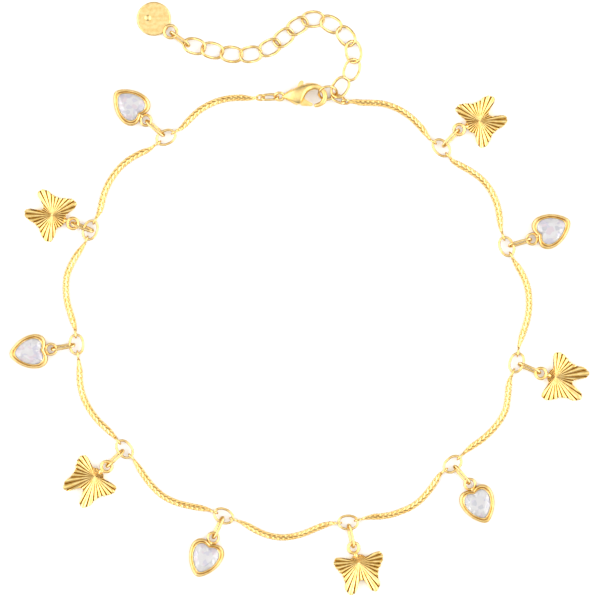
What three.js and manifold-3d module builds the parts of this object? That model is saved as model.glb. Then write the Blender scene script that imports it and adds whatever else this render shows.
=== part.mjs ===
// Charm anklet: eleven short lengths of fine chain joined by ten oval rings, each ring
// carrying a charm, closed by a lobster clasp, with an extender chain and a round tag.
// Millimetres, +Z up. The anklet lies open on a surface at z = 0, its middle at the origin.
import * as THREE from 'three';
import Module from 'manifold-3d';
import { mergeVertices } from 'three/addons/utils/BufferGeometryUtils.js';

const wasm = await Module();
wasm.setup();

// ---- driving dimensions -------------------------------------------------------------
const CHAIN = { radius: 0.475, endRadius: 0.19, taper: 2.4, lead: 0.6, sides: 8, steps: 12 };
const END_LOOP = { length: 1.55, width: 1.44, wire: 0.165, z: 0.725, hold: 0.45, square: 2.3 };
const RING = { length: 3.6, width: 2.65, wire: 0.21, z: 0.74, square: 2.2 };
const LINK = { length: 4.2, width: 1.8, wire: 0.21, lean: 20, z: 0.86, square: 3 };
const HEART_LOOP = { radius: 0.875, wire: 0.225, z: 0.76 };
const WING_LOOP = { radius: 0.87, wire: 0.265, z: 0.8 };
const HEART = { notch: 1.15, middle: 2.35, height: 1.9, points: 22, neck: [0.75, 0.7, 0.6], neckAt: 1.25 };
const BUTTERFLY = {
  ridge: 1.05, valley: 0.8, centre: 0.72, reach: 2.5, cuts: 44,
  neck: [1.3, 0.9, 0.5], neckAt: 1.45, neckZ: 0.65,
};
const CLASP = {
  x: -0.2, y: 34.2, z: 1.15, belly: 2.3, bellyEdge: 0.35, hook: 0.8, hookEdge: 0.15, lever: 0.8, slot: 1.0,
  pin: 0.25, pinPlay: 0.08, pinInset: 0.15,
};
const TAIL_LOOP = { radius: 0.76, wire: 0.24, tilt: 40, at: [-3.4, -0.15, 0] };
const END_RING = { radius: 1.5, wire: 0.21, tilt: 46.5, turn: 8, at: [4.46, 34.63, 1.31] };
const CLASP_LINK = {
  length: 3.2, width: 1.85, wire: 0.21, square: 2.4, at: [-5.2, 33.95, 1.0], turn: 3, tilt: -50,
};
const END_OVAL = {
  length: 2.8, width: 1.75, wire: 0.21, square: 2.4, at: [6.2, 33.7, 0.6], turn: -28, tilt: -35, chainZ: 0.64,
};
const CURB = { length: 4.0, width: 2.9, wire: 0.225, thickness: 1.3, z: 0.75, lastZ: 1.14, square: 2.3 };
const TAG = {
  radius: 2.83, thickness: 0.65, dimple: 0.55, dimpleDepth: 0.15, dimpleAt: [-1.0, 0.15],
  loop: 1.05, wire: 0.25, loopZ: 0.72,
};

// ring centre, turn of its long axis, centre of the charm's loop, turn of the charm, and
// for a butterfly the sideways place of its loop and how far its cuts' middle is moved
const STATIONS = [
  { ring: [-22.5, 27.25], turn: 25, loop: [-25.85, 30.1], heart: 137 },
  {
    ring: [-35.1, 11.8], turn: 69, loop: [-38.0, 12.9], butterfly: 145, side: -0.85, shift: 1.15, slack: 0.25,
  },
  { ring: [-37.4, -7.25], turn: 93, loop: [-41.65, -8.05], heart: 187.5 },
  { ring: [-29.4, -24.7], turn: 129, loop: [-32.4, -27.6], butterfly: 224, side: 0.15, shift: 0 },
  { ring: [-12.9, -35.8], turn: 156, loop: [-14.65, -39.5], heart: 247 },
  { ring: [7.85, -36.9], turn: 180, loop: [8.75, -41.15], butterfly: 279, side: -0.5, shift: 0 },
  { ring: [25.25, -27.2], turn: 40, loop: [28.15, -30.55], heart: 294 },
  { ring: [35.9, -10.3], turn: 70, loop: [39.95, -12.08], butterfly: 343, side: -0.15, shift: 0 },
  { ring: [34.25, 9.05], turn: 114, loop: [38.5, 10.3], heart: 26 },
  { ring: [23.4, 25.5], turn: 136, loop: [26.35, 28.55], butterfly: 33, side: 0.65, shift: 1.15 },
];

// the way each length of chain takes between its two ends
const ROUTES = [
  [[-8.4, 33.75, 0.62], [-10.3, 33.85], [-12.5, 33.65], [-14.65, 33.0], [-16.75, 31.85], [-18.4, 30.4],
    [-19.8, 28.9]],
  [[-25.2, 25.3], [-26.75, 24.6], [-28.4, 23.7], [-30.1, 22.3], [-31.75, 20.1], [-32.6, 18.4], [-33.1, 16.75],
    [-33.5, 15.1]],
  [[-36.0, 9.6], [-36.8, 8.45], [-37.6, 7.3], [-38.4, 5.8], [-38.95, 4.4], [-39.15, 3.0], [-39.15, 1.4],
    [-38.95, -0.2], [-38.5, -1.8], [-38.0, -3.4], [-37.65, -4.6]],
  [[-37.05, -9.9], [-36.9, -11.6], [-36.85, -13.25], [-36.6, -14.9], [-36.0, -16.6], [-35.1, -18.25],
    [-33.85, -19.9], [-32.1, -21.6], [-31.0, -22.7]],
  [[-27.9, -26.4], [-26.75, -28.2], [-25.1, -30.5], [-23.4, -32.2], [-21.75, -33.2], [-20.1, -33.8],
    [-18.4, -34.2], [-16.75, -34.5], [-15.4, -34.8]],
  [[-10.4, -36.7], [-9.2, -37.25], [-8.0, -37.95], [-6.7, -38.6], [-5.1, -39.15], [-3.4, -39.4], [-1.75, -39.3],
    [0, -38.9], [1.6, -38.3], [3.25, -37.6], [4.9, -37.1]],
  [[10.7, -36.2], [11.9, -36.0], [13.25, -35.9], [14.9, -35.65], [16.6, -35.1], [18.25, -34.4], [19.9, -33.2],
    [21.5, -31.4], [22.4, -30.1], [23.2, -28.85]],
  [[27.1, -25.4], [28.3, -24.4], [29.9, -23.3], [31.6, -21.8], [33.15, -19.9], [34.05, -18.2], [34.4, -16.5],
    [34.55, -14.9], [34.8, -13.2]],
  [[36.3, -7.6], [36.6, -6.5], [37.15, -4.9], [37.65, -3.25], [37.95, -1.6], [38.0, 0], [37.85, 1.7],
    [37.35, 3.4], [36.45, 5.2], [35.6, 6.5]],
  [[33.35, 11.8], [33.15, 13.4], [32.9, 15.1], [32.4, 16.8], [31.6, 18.4], [30.25, 20.1], [28.3, 21.6],
    [26.7, 22.5], [25.3, 23.3]],
  [[21.5, 26.9], [20.75, 27.9], [19.9, 29.0], [18.25, 30.6], [16.6, 31.75], [14.9, 32.5], [13.25, 32.9],
    [11.6, 33.0], [10.0, 33.05], [8.9, 33.2]],
];

// the middles of the extender's thirteen links, from the tag to the end ring
const EXTENDER = [
  [-17.75, 42.45], [-14.77, 41.73], [-11.58, 41.08], [-8.38, 41.08], [-5.2, 42.2], [-2.9, 43.85], [-0.6, 45.8],
  [1.98, 46.95], [5.0, 46.1], [7.5, 44.1], [8.75, 41.5], [8.45, 38.5], [6.53, 35.58],
];
// moves the middle of the outline to the origin
const CENTRE_SHIFT = [0.2, -0.4];
const TAG_AT = [-24.53, 47.0];
const TAG_LOOP_AT = [-21.75, 44.85];
const TAG_LINK_ENDS = [[-21.0, 44.2], [-19.4, 43.0]];

// ---- materials ----------------------------------------------------------------------
const gold = () => new THREE.MeshStandardMaterial({ color: 0xdcb765, roughness: 0.22, metalness: 1 });
const stone = () => new THREE.MeshStandardMaterial({ color: 0xe9e4ee, roughness: 0.05, metalness: 0 });

// ---- small tools --------------------------------------------------------------------
const rad = THREE.MathUtils.degToRad;
const anklet = new THREE.Group();
anklet.position.set(...CENTRE_SHIFT, 0);

function addMesh(name, geometry, parent = anklet, material = gold()) {
  const mesh = new THREE.Mesh(geometry, material);
  mesh.name = name;
  parent.add(mesh);
  return mesh;
}

function toSolid(geometry) {
  const bare = geometry.clone();
  bare.deleteAttribute('normal');
  bare.deleteAttribute('uv');
  const merged = mergeVertices(bare, 1e-5);
  const mesh = new wasm.Mesh({
    numProp: 3,
    vertProperties: new Float32Array(merged.attributes.position.array),
    triVerts: new Uint32Array(merged.index.array),
  });
  mesh.merge();
  return new wasm.Manifold(mesh);
}

function toGeometry(solid) {
  const mesh = solid.getMesh();
  const geometry = new THREE.BufferGeometry();
  geometry.setAttribute('position', new THREE.BufferAttribute(mesh.vertProperties, 3));
  geometry.setIndex(new THREE.BufferAttribute(mesh.triVerts, 1));
  return geometry;
}

function join(...geometries) {
  return toGeometry(geometries.map(toSolid).reduce((a, b) => a.add(b)));
}

function cut(geometry, ...tools) {
  return toGeometry(tools.map(toSolid).reduce((a, b) => a.subtract(b), toSolid(geometry)));
}

const power = (value, exponent) => Math.sign(value) * Math.abs(value) ** exponent;

// a closed wire ring, lying in the XY plane with its length along X; its outline is a
// superellipse, so square = 2 is an ellipse and more is closer to a straight-sided link
function wireRing({ length, width, wire, square }, sides = 6, steps = 12) {
  const a = length / 2 - wire;
  const b = width / 2 - wire;
  const geometry = new THREE.TorusGeometry(1, wire, sides, steps);
  const p = geometry.attributes.position;
  for (let i = 0; i < p.count; i++) {
    const angle = Math.atan2(p.getY(i), p.getX(i));
    const out = Math.hypot(p.getX(i), p.getY(i)) - 1;
    const x = a * power(Math.cos(angle), 2 / square);
    const y = b * power(Math.sin(angle), 2 / square);
    const slope = [power(x / a, square - 1) / a, power(y / b, square - 1) / b];
    const normal = new THREE.Vector2(...slope).normalize();
    p.setXY(i, x + normal.x * out, y + normal.y * out);
  }
  return geometry;
}

// how far a ring's wire is from its middle, in a direction measured from its length
function ovalReach({ length, width, wire, square }, angle) {
  const a = length / 2 - wire;
  const b = width / 2 - wire;
  return (Math.abs(Math.cos(angle) / a) ** square + Math.abs(Math.sin(angle) / b) ** square) ** (-1 / square);
}

function placed(geometry, ...moves) {
  const matrix = new THREE.Matrix4();
  moves.forEach((move) => matrix.premultiply(move));
  return geometry.applyMatrix4(matrix);
}

const moveTo = (x, y, z) => new THREE.Matrix4().makeTranslation(x, y, z);
const turnX = (degrees) => new THREE.Matrix4().makeRotationX(rad(degrees));
const turnZ = (degrees) => new THREE.Matrix4().makeRotationZ(rad(degrees));

// ---- connector rings, charm links and charms ------------------------------------------
function ringPoint(station, toward) {
  const direction = Math.atan2(toward[1] - station.ring[1], toward[0] - station.ring[0]);
  const reach = ovalReach(RING, direction - rad(station.turn));
  return [station.ring[0] + reach * Math.cos(direction), station.ring[1] + reach * Math.sin(direction)];
}

function addRing(number, station) {
  const ring = addMesh(`ring_${number}`, wireRing(RING));
  ring.position.set(...station.ring, RING.z);
  ring.rotation.z = rad(station.turn);
}

// a link standing on its edge and leaning over a little, holding wires at two points;
// a slack link lies nearer to the first of them
function uprightLink(from, to, slack = 0) {
  const geometry = wireRing(LINK, 6, 12).translate(-slack, 0, 0);
  const heading = THREE.MathUtils.radToDeg(Math.atan2(to[1] - from[1], to[0] - from[0]));
  const middle = [(from[0] + to[0]) / 2, (from[1] + to[1]) / 2, LINK.z];
  return placed(geometry, turnX(90 - LINK.lean), turnZ(heading), moveTo(...middle));
}

function addCharmLink(number, station, loopRadius) {
  const start = ringPoint(station, station.loop);
  const dx = station.loop[0] - start[0];
  const dy = station.loop[1] - start[1];
  const stretch = 1 - loopRadius / Math.hypot(dx, dy);
  const end = [start[0] + dx * stretch, start[1] + dy * stretch];
  addMesh(`charm_link_${number}`, uprightLink(start, end, station.slack));
}

function heartOutline() {
  const shape = new THREE.Shape();
  shape.moveTo(0, 0);
  shape.bezierCurveTo(-0.25, 0.45, -0.5, 0.95, -0.4, 1.6);
  shape.bezierCurveTo(-0.28, 2.35, 0.5, 2.88, 1.35, 2.88);
  shape.bezierCurveTo(2.7, 2.88, 4.0, 2.3, 5.1, 1.2);
  shape.bezierCurveTo(5.5, 0.8, 5.8, 0.4, 5.8, 0);
  shape.bezierCurveTo(5.8, -0.4, 5.5, -0.8, 5.1, -1.2);
  shape.bezierCurveTo(4.0, -2.3, 2.7, -2.88, 1.35, -2.88);
  shape.bezierCurveTo(0.5, -2.88, -0.28, -2.35, -0.4, -1.6);
  shape.bezierCurveTo(-0.5, -0.95, -0.25, -0.45, 0, 0);
  return shape.getSpacedPoints(HEART.points).slice(0, HEART.points);
}

// a ring of material whose section runs through (scale, z) points, all round an outline
function aroundOutline(outline, middle, section) {
  const positions = [];
  const index = [];
  outline.forEach((p) => section.forEach(([scale, z]) => {
    positions.push(middle + (p.x - middle) * scale, p.y * scale, z);
  }));
  const n = section.length;
  const m = outline.length;
  for (let i = 0; i < m; i++) {
    for (let j = 0; j < n; j++) {
      const a = i * n + j;
      const b = i * n + ((j + 1) % n);
      const c = ((i + 1) % m) * n + j;
      const d = ((i + 1) % m) * n + ((j + 1) % n);
      index.push(a, b, c, b, d, c);
    }
  }
  const geometry = new THREE.BufferGeometry();
  geometry.setAttribute('position', new THREE.Float32BufferAttribute(positions, 3));
  geometry.setIndex(index);
  return geometry;
}

// a solid of stacked outlines, closed by a fan at the bottom and at the top
function stacked(outline, middle, layers) {
  const positions = [];
  const index = [];
  layers.forEach(([scale, z]) => outline.forEach((p) => {
    positions.push(middle + (p.x - middle) * scale, p.y * scale, z);
  }));
  const m = outline.length;
  const last = layers.length - 1;
  for (let k = 0; k < last; k++) {
    for (let i = 0; i < m; i++) {
      const a = k * m + i;
      const b = k * m + ((i + 1) % m);
      index.push(a, a + m, b, b, a + m, b + m);
    }
  }
  positions.push(middle, 0, layers[0][1], middle, 0, layers[last][1]);
  const bottom = layers.length * m;
  for (let i = 0; i < m; i++) {
    const next = (i + 1) % m;
    index.push(bottom, i, next, bottom + 1, last * m + next, last * m + i);
  }
  const geometry = new THREE.BufferGeometry();
  geometry.setAttribute('position', new THREE.Float32BufferAttribute(positions, 3));
  geometry.setIndex(index);
  return geometry;
}

const BEZEL_SECTION = [
  [1, 0], [1, 1.6], [0.93, HEART.height], [0.8, HEART.height], [0.735, 1.62],
  [0.785, 1.5], [0.785, 1.26], [0.7, 1.05], [0.7, 0],
];
const STONE_LAYERS = [[0.1, 0.3], [0.75, 1.31], [0.75, 1.45], [0.45, 1.78]];

function addHeart(number, station) {
  const group = new THREE.Group();
  group.position.set(...station.loop, 0);
  group.rotation.z = rad(station.heart);
  anklet.add(group);
  const outline = heartOutline();
  const bezel = aroundOutline(outline, HEART.middle, BEZEL_SECTION).translate(HEART.notch, 0, 0);
  const loop = new THREE.TorusGeometry(HEART_LOOP.radius, HEART_LOOP.wire, 6, 12).translate(0, 0, HEART_LOOP.z);
  const neck = new THREE.BoxGeometry(...HEART.neck).translate(HEART.neckAt, 0, HEART_LOOP.z);
  addMesh(`heart_setting_${number}`, join(bezel, loop, neck), group);
  addMesh(`heart_stone_${number}`, stacked(outline, HEART.middle, STONE_LAYERS).translate(HEART.notch, 0, 0),
    group, stone());
}

// degrees that the neck turns towards the plate for each millimetre that the loop is off its middle
const NECK_TURN = -16;

// half of the butterfly's outline from the neck round to the notch between its lower wings
const WING_HALF = [
  [-1.2, 0.75], [-0.8, 1.25], [-1.25, 2.9], [-1.25, 3.75], [-0.7, 4.15], [0.1, 4.1], [0.7, 3.75],
  [1.2, 3.5], [1.55, 3.15], [2.2, 3.0], [2.9, 2.85], [3.9, 2.95], [4.8, 2.7], [5.3, 2.0], [5.0, 1.35],
  [4.1, 0.9], [3.25, 0.4],
];

const WING_NOTCH = [3.0, 0, 0];

function butterflyOutline() {
  const half = WING_HALF.map(([x, y]) => new THREE.Vector3(x, y, 0));
  const other = [...half].reverse().map((p) => new THREE.Vector3(p.x, -p.y, 0));
  const round = [...half, new THREE.Vector3(...WING_NOTCH), ...other];
  const curve = new THREE.CatmullRomCurve3(round, false, 'centripetal');
  return curve.getSpacedPoints(BUTTERFLY.cuts - 1);
}

function butterflyPlate(shift) {
  const outline = butterflyOutline();
  const m = outline.length;
  const positions = [shift, 0, BUTTERFLY.centre, shift, 0, 0];
  outline.forEach((p, i) => {
    positions.push(p.x, p.y, i % 2 ? BUTTERFLY.valley : BUTTERFLY.ridge);
    positions.push(p.x, p.y, 0);
  });
  const index = [];
  for (let i = 0; i < m; i++) {
    const a = 2 + 2 * i;
    const b = 2 + 2 * ((i + 1) % m);
    index.push(0, b, a, 1, a + 1, b + 1, a, b, a + 1, b, b + 1, a + 1);
  }
  const geometry = new THREE.BufferGeometry();
  geometry.setAttribute('position', new THREE.Float32BufferAttribute(positions, 3));
  geometry.setIndex(index);
  return geometry;
}

function addButterfly(number, station) {
  const group = new THREE.Group();
  group.position.set(...station.loop, 0);
  group.rotation.z = rad(station.butterfly);
  anklet.add(group);
  const plate = butterflyPlate(station.shift).translate(BUTTERFLY.reach, -station.side, 0);
  const loop = new THREE.TorusGeometry(WING_LOOP.radius, WING_LOOP.wire, 6, 12).translate(0, 0, WING_LOOP.z);
  const neck = new THREE.BoxGeometry(...BUTTERFLY.neck).translate(BUTTERFLY.neckAt, 0, BUTTERFLY.neckZ);
  neck.applyMatrix4(turnZ(NECK_TURN * station.side));
  addMesh(`butterfly_${number}`, join(plate, neck, loop), group);
}

STATIONS.forEach((station, i) => {
  addRing(i + 1, station);
  addCharmLink(i + 1, station, station.heart ? HEART_LOOP.radius : WING_LOOP.radius);
  if (station.heart) addHeart(i + 1, station);
  else addButterfly(i + 1, station);
});

// ---- lengths of chain -----------------------------------------------------------------
// an end is the point on the held wire, with its height and the tilt of the end loop
function chainEnd(point, toward, z = END_LOOP.z, tilt = 90) {
  const direction = new THREE.Vector2(toward[0] - point[0], toward[1] - point[1]).normalize();
  return { point, direction, z, tilt };
}

function endLoop({ point, direction, z, tilt }) {
  const inner = END_LOOP.length / 2 - END_LOOP.hold - END_LOOP.wire;
  const heading = THREE.MathUtils.radToDeg(direction.angle());
  const middle = [point[0] + direction.x * inner, point[1] + direction.y * inner, z];
  return placed(wireRing(END_LOOP, 6, 10), turnX(tilt), turnZ(heading), moveTo(...middle));
}

function chainTube(start, route, finish) {
  const inset = END_LOOP.length - END_LOOP.hold - 2 * END_LOOP.wire;
  const entry = ({ point, direction, z }) => new THREE.Vector3(
    point[0] + direction.x * inset, point[1] + direction.y * inset, z);
  const middle = route.map(([x, y, z = CHAIN.radius]) => new THREE.Vector3(x, y, z));
  const path = new THREE.CatmullRomCurve3([entry(start), ...middle, entry(finish)], false, 'centripetal');
  const section = new THREE.Shape();
  section.absarc(0, 0, CHAIN.radius, 0, 2 * Math.PI);
  const settings = {
    steps: CHAIN.steps, extrudePath: path, curveSegments: CHAIN.sides / 2, bevelEnabled: false,
  };
  const geometry = new THREE.ExtrudeGeometry(section, settings);
  const stops = path.getSpacedPoints(CHAIN.steps);
  const length = path.getLength();
  const p = geometry.attributes.position;
  const vertex = new THREE.Vector3();
  for (let i = 0; i < p.count; i++) {
    vertex.fromBufferAttribute(p, i);
    const away = stops.map((stop) => stop.distanceTo(vertex));
    const k = away.indexOf(Math.min(...away));
    const fromEnd = (Math.min(k, CHAIN.steps - k) / CHAIN.steps) * length;
    const grown = THREE.MathUtils.smoothstep(fromEnd, -CHAIN.lead, CHAIN.taper);
    const scale = THREE.MathUtils.lerp(CHAIN.endRadius / CHAIN.radius, 1, fromEnd === 0 ? 0 : grown);
    vertex.sub(stops[k]).multiplyScalar(scale).add(stops[k]);
    p.setXYZ(i, vertex.x, vertex.y, vertex.z);
  }
  return geometry;
}

// where a length of chain ends, on one of the clasp's two oval links
function ovalEnd({ length, wire, at, turn }, side) {
  const reach = side * (length / 2 - wire);
  return [at[0] + reach * Math.cos(rad(turn)), at[1] + reach * Math.sin(rad(turn))];
}

ROUTES.forEach((route, i) => {
  const first = route[0];
  const last = route[route.length - 1];
  const start = i === 0
    ? chainEnd(ovalEnd(CLASP_LINK, -1), first, CLASP_LINK.at[2], -90 - CLASP_LINK.tilt)
    : chainEnd(ringPoint(STATIONS[i - 1], first), first);
  const finish = i === ROUTES.length - 1
    ? chainEnd(ovalEnd(END_OVAL, 1), last, END_OVAL.chainZ, 90 + END_OVAL.tilt)
    : chainEnd(ringPoint(STATIONS[i], last), last);
  addMesh(`chain_${i + 1}`, join(chainTube(start, route, finish), endLoop(start), endLoop(finish)));
});

// ---- lobster clasp ----------------------------------------------------------------------
function outlineShape(points) {
  return new THREE.Shape(points.map(([x, y]) => new THREE.Vector2(x, y)));
}

// a plate of an outline, centred on z = 0, with its edges rounded off by a bevel
function plate(points, thickness, bevel) {
  const settings = {
    depth: thickness - 2 * bevel, bevelEnabled: bevel > 0, bevelSize: bevel, bevelThickness: bevel,
    bevelOffset: -bevel, bevelSegments: 1, steps: 1,
  };
  return new THREE.ExtrudeGeometry(outlineShape(points), settings).translate(0, 0, bevel - thickness / 2);
}

const HOOK = [
  [-0.4, 1.5], [0.2, 1.8], [0.95, 2.0], [1.95, 2.07], [2.95, 1.92], [3.75, 1.4], [4.4, 0.7], [4.6, -0.2],
  [4.4, -1.0], [3.85, -1.6], [3.1, -1.95], [2.45, -1.95], [2.3, -1.6], [2.7, -1.3], [3.2, -1.1], [3.65, -0.6],
  [3.8, 0], [3.55, 0.55], [2.85, 0.95], [2.03, 0.95], [1.37, 0.65], [0.95, 0.1], [0.7, -0.45], [-0.4, -0.2],
];
const BELLY = [
  [-2.75, 0.2], [-1.6, 0.9], [-0.75, 1.4], [0.15, 1.75], [1.0, 1.85], [1.3, 1.4], [1.1, 0.5], [0.7, -0.4],
  [0.15, -1.35], [0, -1.62], [-0.6, -1.52], [-1.4, -1.12], [-2.1, -0.65], [-2.75, -0.4],
];
const SLOT = [
  [-1.9, 2.9], [-1.3, 1.2], [-0.75, 0.3], [-0.78, -0.1], [-0.5, -0.8], [-0.4, -2.2], [2, -2.2], [2.5, 0.25],
  [0.75, 0.12], [0.65, 0.6], [1.15, 2.9],
];
const LEVER = [
  [-0.15, 2.4], [-0.45, 1.5], [-0.4, 0.5], [-0.6, 0], [-0.3, -0.6], [0.2, -1.6], [1.2, -1.72], [2.0, -1.72],
  [2.2, -1.4], [1.6, -1.05], [0.82, -0.52], [0.6, 0], [0.3, 0.5], [0.7, 1.9], [0.72, 2.45], [0.3, 2.55],
];

function rod(radius, length) {
  return new THREE.CylinderGeometry(radius, radius, length, 12).rotateX(Math.PI / 2);
}

const pinHole = rod(CLASP.pin + CLASP.pinPlay, CLASP.slot * 2);
const pin = rod(CLASP.pin, CLASP.belly - 2 * CLASP.pinInset);
const slotted = cut(
  join(plate(BELLY, CLASP.belly, CLASP.bellyEdge), plate(HOOK, CLASP.hook, CLASP.hookEdge)),
  plate(SLOT, CLASP.slot, 0),
);
const claspLoop = placed(
  new THREE.TorusGeometry(TAIL_LOOP.radius, TAIL_LOOP.wire, 6, 12),
  turnX(TAIL_LOOP.tilt), moveTo(...TAIL_LOOP.at),
);
const clasp = new THREE.Group();
clasp.position.set(CLASP.x, CLASP.y, CLASP.z);
anklet.add(clasp);
addMesh('clasp_body', join(slotted, pin, claspLoop), clasp);
addMesh('clasp_lever', cut(plate(LEVER, CLASP.lever, 0), pinHole), clasp);

function addLooseRing(name, geometry, { at, turn, tilt }) {
  addMesh(name, placed(geometry, turnX(tilt), turnZ(turn), moveTo(...at)));
}

addLooseRing('clasp_link', wireRing(CLASP_LINK), CLASP_LINK);
addLooseRing('end_ring', new THREE.TorusGeometry(END_RING.radius, END_RING.wire, 6, 16), END_RING);
addLooseRing('end_oval', wireRing(END_OVAL), END_OVAL);

// ---- extender chain and tag ---------------------------------------------------------------
function curbLink(index, neighbour, z) {
  const [x, y] = EXTENDER[index];
  const heading = Math.atan2(EXTENDER[neighbour][1] - y, EXTENDER[neighbour][0] - x);
  return placed(wireRing(CURB, 6, 14), turnZ(THREE.MathUtils.radToDeg(heading)), moveTo(x, y, z));
}

function extenderBand() {
  const last = EXTENDER.length - 1;
  const between = (a, b) => [0.5 * (a[0] + b[0]), 0.5 * (a[1] + b[1])];
  const route = [
    between(EXTENDER[0], EXTENDER[1]), ...EXTENDER.slice(1, last), between(EXTENDER[last - 1], EXTENDER[last]),
  ];
  const path = new THREE.CatmullRomCurve3(route.map(([x, y]) => new THREE.Vector3(x, y, CURB.thickness / 2)),
    false, 'centripetal');
  const section = new THREE.Shape();
  section.absellipse(0, 0, CURB.thickness / 2, CURB.width / 2, 0, 2 * Math.PI);
  return new THREE.ExtrudeGeometry(section, {
    steps: 18, extrudePath: path, curveSegments: 5, bevelEnabled: false,
  });
}

const lastLink = EXTENDER.length - 1;
addMesh('extender_chain', join(
  extenderBand(), curbLink(0, 1, CURB.z), curbLink(lastLink, lastLink - 1, CURB.lastZ)));

const tagDisc = new THREE.CylinderGeometry(TAG.radius, TAG.radius, TAG.thickness, 32).rotateX(Math.PI / 2);
tagDisc.translate(...TAG_AT, TAG.thickness / 2);
const dimple = new THREE.CylinderGeometry(TAG.dimple, TAG.dimple, 2 * TAG.dimpleDepth, 12).rotateX(Math.PI / 2);
dimple.translate(TAG_AT[0] + TAG.dimpleAt[0], TAG_AT[1] + TAG.dimpleAt[1], TAG.thickness);
const tagLoop = new THREE.TorusGeometry(TAG.loop, TAG.wire, 6, 12).translate(...TAG_LOOP_AT, TAG.loopZ);
addMesh('tag', join(cut(tagDisc, dimple), tagLoop));
addMesh('tag_link', uprightLink(...TAG_LINK_ENDS));

export default anklet;
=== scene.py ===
"""Charm anklet lying open on a pale surface: fine plaited chain in eleven lengths, ten oval
rings with heart and butterfly charms, a lobster clasp, an extender chain and a round tag."""
import math

import bmesh
import bpy
import numpy as np
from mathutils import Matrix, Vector


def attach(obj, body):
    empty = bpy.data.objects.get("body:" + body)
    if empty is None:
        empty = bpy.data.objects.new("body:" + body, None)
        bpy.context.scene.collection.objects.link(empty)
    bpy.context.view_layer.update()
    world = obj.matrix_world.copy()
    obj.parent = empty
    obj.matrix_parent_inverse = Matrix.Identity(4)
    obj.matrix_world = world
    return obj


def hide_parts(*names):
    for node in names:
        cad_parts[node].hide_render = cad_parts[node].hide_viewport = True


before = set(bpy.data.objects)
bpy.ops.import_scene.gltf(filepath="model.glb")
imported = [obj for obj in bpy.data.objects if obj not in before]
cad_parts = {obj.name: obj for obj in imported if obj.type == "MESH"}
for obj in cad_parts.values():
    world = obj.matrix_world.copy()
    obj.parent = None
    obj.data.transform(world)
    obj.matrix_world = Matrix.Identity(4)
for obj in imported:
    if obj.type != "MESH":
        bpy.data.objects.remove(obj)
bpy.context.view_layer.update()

# ---- lengths of plaited chain ---------------------------------------------------------
# Eleven lengths of fine plaited chain, brass wire links plated in yellow gold.
# Two rows of small oval links lean against each other like ears of wheat; each end is
# drawn down to a short wire that closes in an upright eye round a connector ring.
MM = 0.001
OUTLINE_MIDDLE = np.array([0.2, -0.4, 0.0])
UP = np.array([0.0, 0.0, 1.0])

STRAND_RADIUS = 0.475
END_SCALE = 0.36
TAPER = 2.4
LINK_PITCH = 0.84
PLAIT_LINK = {"length": 1.3, "width": 0.56, "wire": 0.14, "square": 2.2, "steps": 16, "sides": 7}
PLAIT_LEAN = 21
PLAIT_ROLL = 18
PLAIT_SIDE = 0.17
PLAIT_LIFT = 0.15
STEM_LENGTH = 1.5
EYE = {"length": 1.55, "width": 1.44, "wire": 0.165, "square": 2.3, "steps": 28, "sides": 10}
EYE_HOLD = 0.45
# dark brown tint of the gold's reflections at grazing edges: painted shade along the edges of every gold piece
EDGE_PAINTED_SHADE = (0.4, 0.22, 0.07)
EYE_Z = 0.725
RING = {"length": 3.6, "width": 2.65, "wire": 0.21, "square": 2.2}
CLASP_LINK = {"length": 3.2, "width": 1.85, "wire": 0.21, "square": 2.4}
CLASP_LINK_AT, CLASP_LINK_TURN, CLASP_LINK_TILT = (-5.2, 33.95, 1.0), 3, -50
END_OVAL = {"length": 2.8, "width": 1.75, "wire": 0.21, "square": 2.4}
END_OVAL_AT, END_OVAL_TURN, END_OVAL_TILT = (6.2, 33.7, 0.6), -28, -35
LAST_EYE_Z = 0.64

# ring middle, turn of the ring, middle of the charm's own loop, way the charm points,
# and for a butterfly where its loop sits, how far its cuts' middle is moved, link slack
STATIONS = [
    {"ring": (-22.5, 27.25), "turn": 25, "loop": (-25.85, 30.1), "heart": 137},
    {"ring": (-35.1, 11.8), "turn": 69, "loop": (-38.0, 12.9), "wings": 145, "side": -0.85, "cuts": 1.15,
     "slack": 0.25},
    {"ring": (-37.4, -7.25), "turn": 93, "loop": (-41.65, -8.05), "heart": 187.5},
    {"ring": (-29.4, -24.7), "turn": 129, "loop": (-32.4, -27.6), "wings": 224, "side": 0.15, "cuts": 0.0},
    {"ring": (-12.9, -35.8), "turn": 156, "loop": (-14.65, -39.5), "heart": 247},
    {"ring": (7.85, -36.9), "turn": 180, "loop": (8.75, -41.15), "wings": 279, "side": -0.5, "cuts": 0.0},
    {"ring": (25.25, -27.2), "turn": 40, "loop": (28.15, -30.55), "heart": 294},
    {"ring": (35.9, -10.3), "turn": 70, "loop": (39.95, -12.08), "wings": 343, "side": -0.15, "cuts": 0.0},
    {"ring": (34.25, 9.05), "turn": 114, "loop": (38.5, 10.3), "heart": 26},
    {"ring": (23.4, 25.5), "turn": 136, "loop": (26.35, 28.55), "wings": 33, "side": 0.65, "cuts": 1.15},
]
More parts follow.
